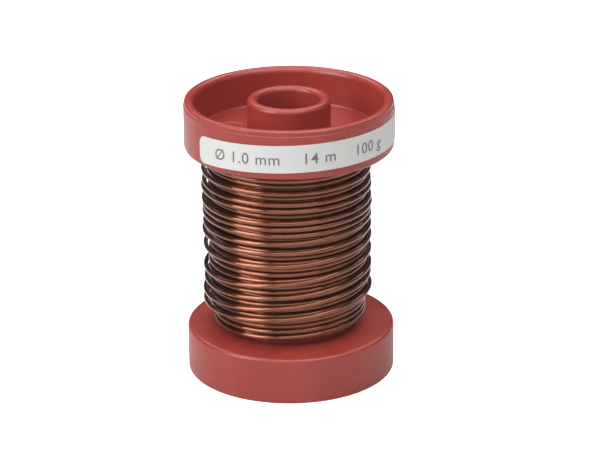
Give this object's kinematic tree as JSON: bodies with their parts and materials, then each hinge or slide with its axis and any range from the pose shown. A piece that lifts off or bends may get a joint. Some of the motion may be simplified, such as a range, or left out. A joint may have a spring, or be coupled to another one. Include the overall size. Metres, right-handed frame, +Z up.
{
  "type": "wire spool",
  "caption": "Cylindrical spool with cupped end flanges and a through bore, wound with enamelled round wire.",
  "frame": {"origin": "centre of the lower flange's rim, on the plane it stands on", "axes": "+Z up along the spool's axis; -Y is the side that the label's print faces; +X to the right seen from there"},
  "size_m": [0.0462, 0.0462, 0.0627],
  "materials": {
    "red_plastic": "satin",
    "enamelled_wire": "gloss",
    "label_paper": "matte"
  },
  "bodies": {
    "root": {"flange_lower": "red_plastic", "flange_upper": "red_plastic", "barrel_tube": "red_plastic", "wire_winding": "enamelled_wire", "wire_start_tail": "enamelled_wire", "wire_end_tail": "enamelled_wire", "label": "label_paper"}
  },
  "joints": []
}
